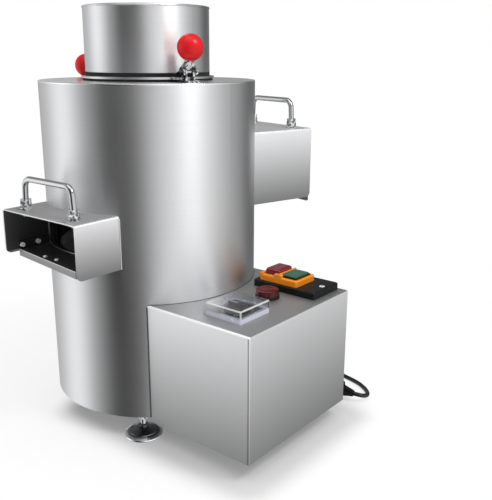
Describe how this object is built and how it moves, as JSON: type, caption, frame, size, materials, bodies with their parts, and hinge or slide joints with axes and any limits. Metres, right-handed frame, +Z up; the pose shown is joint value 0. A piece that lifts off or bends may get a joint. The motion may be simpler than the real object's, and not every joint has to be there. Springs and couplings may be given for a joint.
{
  "type": "chestnut peeling machine",
  "caption": "Upright steel drum with a feed collar on top, open chutes with handles at front and rear, a side box with timer, lamp and switch, clamps with ball knobs, and levelling feet.",
  "frame": {"origin": "on the floor under the centre of the machine's bounding box, without the lead", "axes": "+Z up along the drum, +X towards the control box, -Y towards the lower chute"},
  "size_m": [0.4418, 0.4522, 0.5746],
  "materials": {
    "brushed_steel": "satin, brushed round the drum",
    "plain_steel": "plain mill finish",
    "chrome": "polished",
    "red_knob": "gloss",
    "black_rubber": "matt",
    "cord_black": "satin sheath",
    "black_plastic": "fine grain",
    "clear_cover": "clear",
    "lamp_red": "gloss",
    "orange_plastic": "satin",
    "stop_red": "gloss",
    "start_green": "gloss",
    "cast_aluminium": "cast, matt",
    "laminated_steel": "stacked sheets",
    "painted_steel": "powder coat",
    "brass_pins": "bare"
  },
  "bodies": {
    "frame": {"drum_shell": "brushed_steel", "top_cover": "brushed_steel", "hopper_collar": "brushed_steel", "lower_chute_hood": "brushed_steel", "lower_chute_floor": "brushed_steel", "upper_chute_hood": "brushed_steel", "upper_chute_floor": "brushed_steel", "control_box": "brushed_steel", "base_plate": "plain_steel", "chamber_floor": "plain_steel", "control_box_floor": "plain_steel", "floor_bolts": "plain_steel", "box_screws": "plain_steel", "chute_nuts": "plain_steel", "motor_bearings": "plain_steel", "clamp_bases": "chrome", "clamp_pins": "chrome", "lower_handle": "chrome", "upper_handle": "chrome", "handle_nuts": "chrome", "foot_pads": "chrome", "foot_stems": "chrome", "foot_nuts": "chrome", "hopper_gasket": "black_rubber", "hopper_seal": "black_rubber", "peeling_liner": "black_rubber", "shaft_seal": "black_rubber", "cable_gland": "cord_black", "cord_lead": "cord_black", "cord_coil": "cord_black", "cord_tail": "cord_black", "plug_body": "cord_black", "timer_body": "black_plastic", "lamp_housing": "black_plastic", "switch_base": "black_plastic", "contact_block": "black_plastic", "timer_frame": "clear_cover", "lamp_lens": "lamp_red", "switch_housing": "orange_plastic", "motor_top_shield": "cast_aluminium", "motor_housing": "cast_aluminium", "motor_bottom_shield": "cast_aluminium", "capacitor": "cast_aluminium", "motor_stator": "laminated_steel", "fan_cover": "painted_steel", "plug_pins": "brass_pins"},
    "rotor": {"motor_shaft": "plain_steel", "motor_rotor": "laminated_steel", "motor_fan": "black_plastic", "peeling_disc": "cast_aluminium", "disc_nut": "chrome"},
    "right_clamp": {"right_clamp_lever": "chrome", "right_ball_knob": "red_knob"},
    "left_clamp": {"left_clamp_lever": "chrome", "left_ball_knob": "red_knob"},
    "timer_cover": {"timer_lid": "clear_cover"},
    "timer_dial": {"timer_knob": "black_plastic"},
    "stop": {"stop_button": "stop_red"},
    "start": {"start_button": "start_green"}
  },
  "joints": [
    {"name": "rotor_spin", "type": "hinge", "parent": "frame", "child": "rotor", "pos_m": [-0.05557, -0.0261, 0.15], "axis": [0, 0, 1], "continuous": true},
    {"name": "right_clamp_turn", "type": "hinge", "parent": "frame", "child": "right_clamp", "pos_m": [0.05344, -0.05943, 0.491], "axis": [0.2924, 0.9563, 0], "range_deg": [0, 70]},
    {"name": "left_clamp_turn", "type": "hinge", "parent": "frame", "child": "left_clamp", "pos_m": [-0.16942, -0.02013, 0.491], "axis": [-0.0523, -0.9986, 0], "range_deg": [-70, 0]},
    {"name": "timer_lid_turn", "type": "hinge", "parent": "frame", "child": "timer_cover", "pos_m": [0.12123, -0.0836, 0.2016], "axis": [0, -1, 0], "range_deg": [0, 100]},
    {"name": "timer_knob_turn", "type": "hinge", "parent": "frame", "child": "timer_dial", "pos_m": [0.15393, -0.0836, 0.2003], "axis": [0, 0, -1], "range_deg": [0, 300]},
    {"name": "stop_button_press", "type": "slide", "parent": "frame", "child": "stop", "axis": [0, 0, -1], "range_m": [0, 0.003], "stiffness_N_per_m": 300, "springref_m": -0.004},
    {"name": "start_button_press", "type": "slide", "parent": "frame", "child": "start", "axis": [0, 0, -1], "range_m": [0, 0.003], "stiffness_N_per_m": 300, "springref_m": -0.004}
  ]
}
